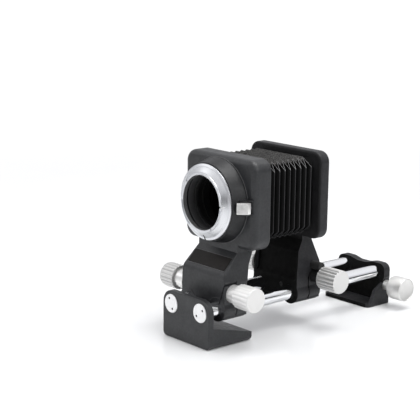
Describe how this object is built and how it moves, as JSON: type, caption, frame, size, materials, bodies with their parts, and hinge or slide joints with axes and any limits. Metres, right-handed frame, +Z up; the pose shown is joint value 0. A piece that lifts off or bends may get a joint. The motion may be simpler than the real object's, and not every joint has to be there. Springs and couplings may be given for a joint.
{
  "type": "macro bellows unit",
  "caption": "Macro bellows: lens standard and camera standard on rack-and-pinion focusing rods with a pleated bellows between, tripod foot in front and clamped foot behind.",
  "frame": {"origin": "mouth of the tripod socket, on the underside of the front foot", "axes": "+X to the right seen from the lens side, +Y from the lens towards the camera along the rods, +Z up"},
  "size_m": [0.1118, 0.2193, 0.1482],
  "materials": {
    "black_enamel": "black crackle-free stove enamel on an aluminium casting",
    "black_anodised": "satin black anodising",
    "flat_black": "matt anti-glare black",
    "bright_steel": "polished hard chrome on ground steel rod",
    "satin_chrome": "satin chrome plating",
    "turned_aluminium": "turned aluminium, clear anodised",
    "steel": "machined steel",
    "spring_steel": "drawn spring steel",
    "black_screw": "blackened steel",
    "brass": "turned brass",
    "leatherette": "black leatherette over cloth",
    "nameplate_black": "anodised plate, left bare"
  },
  "bodies": {
    "rail": {"front_foot": "black_enamel", "tripod_bush": "brass", "left_rod": "bright_steel", "right_rod": "bright_steel", "rack": "steel", "left_rod_screw": "satin_chrome", "right_rod_screw": "satin_chrome", "rear_foot": "black_enamel", "bellows": "leatherette"},
    "foot_clamp": {"foot_clamp_stud": "steel", "foot_clamp_knob": "turned_aluminium"},
    "front_carriage": {"front_standard": "black_enamel", "nameplate": "nameplate_black", "lens_turret": "black_anodised", "bayonet_ring": "satin_chrome", "bayonet_spring": "spring_steel", "baffle_tube": "flat_black", "turret_screws": "black_screw", "front_drive_bush": "turned_aluminium", "front_lock_collar": "turned_aluminium", "front_bellows_frame": "flat_black", "release_spring": "spring_steel"},
    "lens_release": {"release_key": "satin_chrome", "lock_pin": "steel"},
    "front_drive": {"front_pinion_shaft": "steel", "front_drive_knob": "turned_aluminium"},
    "front_lock": {"front_lock_stud": "steel", "front_lock_knob": "turned_aluminium"},
    "rear_carriage": {"rear_standard": "black_enamel", "rear_bellows_frame": "flat_black", "gib_screw": "black_screw", "rear_drive_bush": "turned_aluminium", "rear_lock_collar": "turned_aluminium"},
    "format_lock": {"friction_screw": "black_screw"},
    "rear_drive": {"rear_pinion_shaft": "steel", "rear_drive_knob": "turned_aluminium"},
    "rear_lock": {"rear_lock_stud": "steel", "rear_lock_knob": "turned_aluminium"},
    "camera_mount": {"turntable": "black_anodised", "turntable_retainer": "flat_black", "camera_bayonet": "satin_chrome", "camera_mount_screws": "steel"}
  },
  "joints": [
    {"name": "front_slide", "type": "slide", "parent": "rail", "child": "front_carriage", "axis": [0, 1, 0], "range_m": [-0.0115, 0.015], "deforming": ["bellows"]},
    {"name": "rear_slide", "type": "slide", "parent": "rail", "child": "rear_carriage", "axis": [0, 1, 0], "range_m": [-0.015, 0.076], "deforming": ["bellows"]},
    {"name": "lens_release_slide", "type": "slide", "parent": "front_carriage", "child": "lens_release", "axis": [0, 1, 0], "range_m": [0, 0.0022], "stiffness_N_per_m": 500, "springref_m": -0.003, "deforming": ["release_spring"]},
    {"name": "front_drive_turn", "type": "hinge", "parent": "front_carriage", "child": "front_drive", "pos_m": [0, 0.0018, 0.04063], "axis": [1, 0, 0], "range_deg": [-121.5, 93.5]},
    {"name": "rear_drive_turn", "type": "hinge", "parent": "rear_carriage", "child": "rear_drive", "pos_m": [0, 0.0915, 0.04063], "axis": [1, 0, 0], "range_deg": [-612, 121.5]},
    {"name": "front_lock_turn", "type": "hinge", "parent": "front_carriage", "child": "front_lock", "pos_m": [0, 0.0008, 0.0415], "axis": [1, 0, 0], "range_deg": [0, 90]},
    {"name": "rear_lock_turn", "type": "hinge", "parent": "rear_carriage", "child": "rear_lock", "pos_m": [0, 0.0921, 0.0415], "axis": [1, 0, 0], "range_deg": [0, 90]},
    {"name": "format_lock_turn", "type": "hinge", "parent": "rear_carriage", "child": "format_lock", "pos_m": [0, 0.0897, 0.0509], "axis": [1, 0, 0], "range_deg": [0, 60]},
    {"name": "camera_mount_turn", "type": "hinge", "parent": "rear_carriage", "child": "camera_mount", "pos_m": [0, 0.0903, 0.112], "axis": [0, 1, 0], "range_deg": [0, 90]},
    {"name": "foot_clamp_turn", "type": "hinge", "parent": "rail", "child": "foot_clamp", "pos_m": [0, 0.1823, 0.0176], "axis": [1, 0, 0], "range_deg": [0, 90]}
  ],
  "couplings": [
    {"joint": "front_drive_turn", "follows": "front_slide", "rad_per_m": -140.35},
    {"joint": "rear_drive_turn", "follows": "rear_slide", "rad_per_m": -140.35}
  ]
}
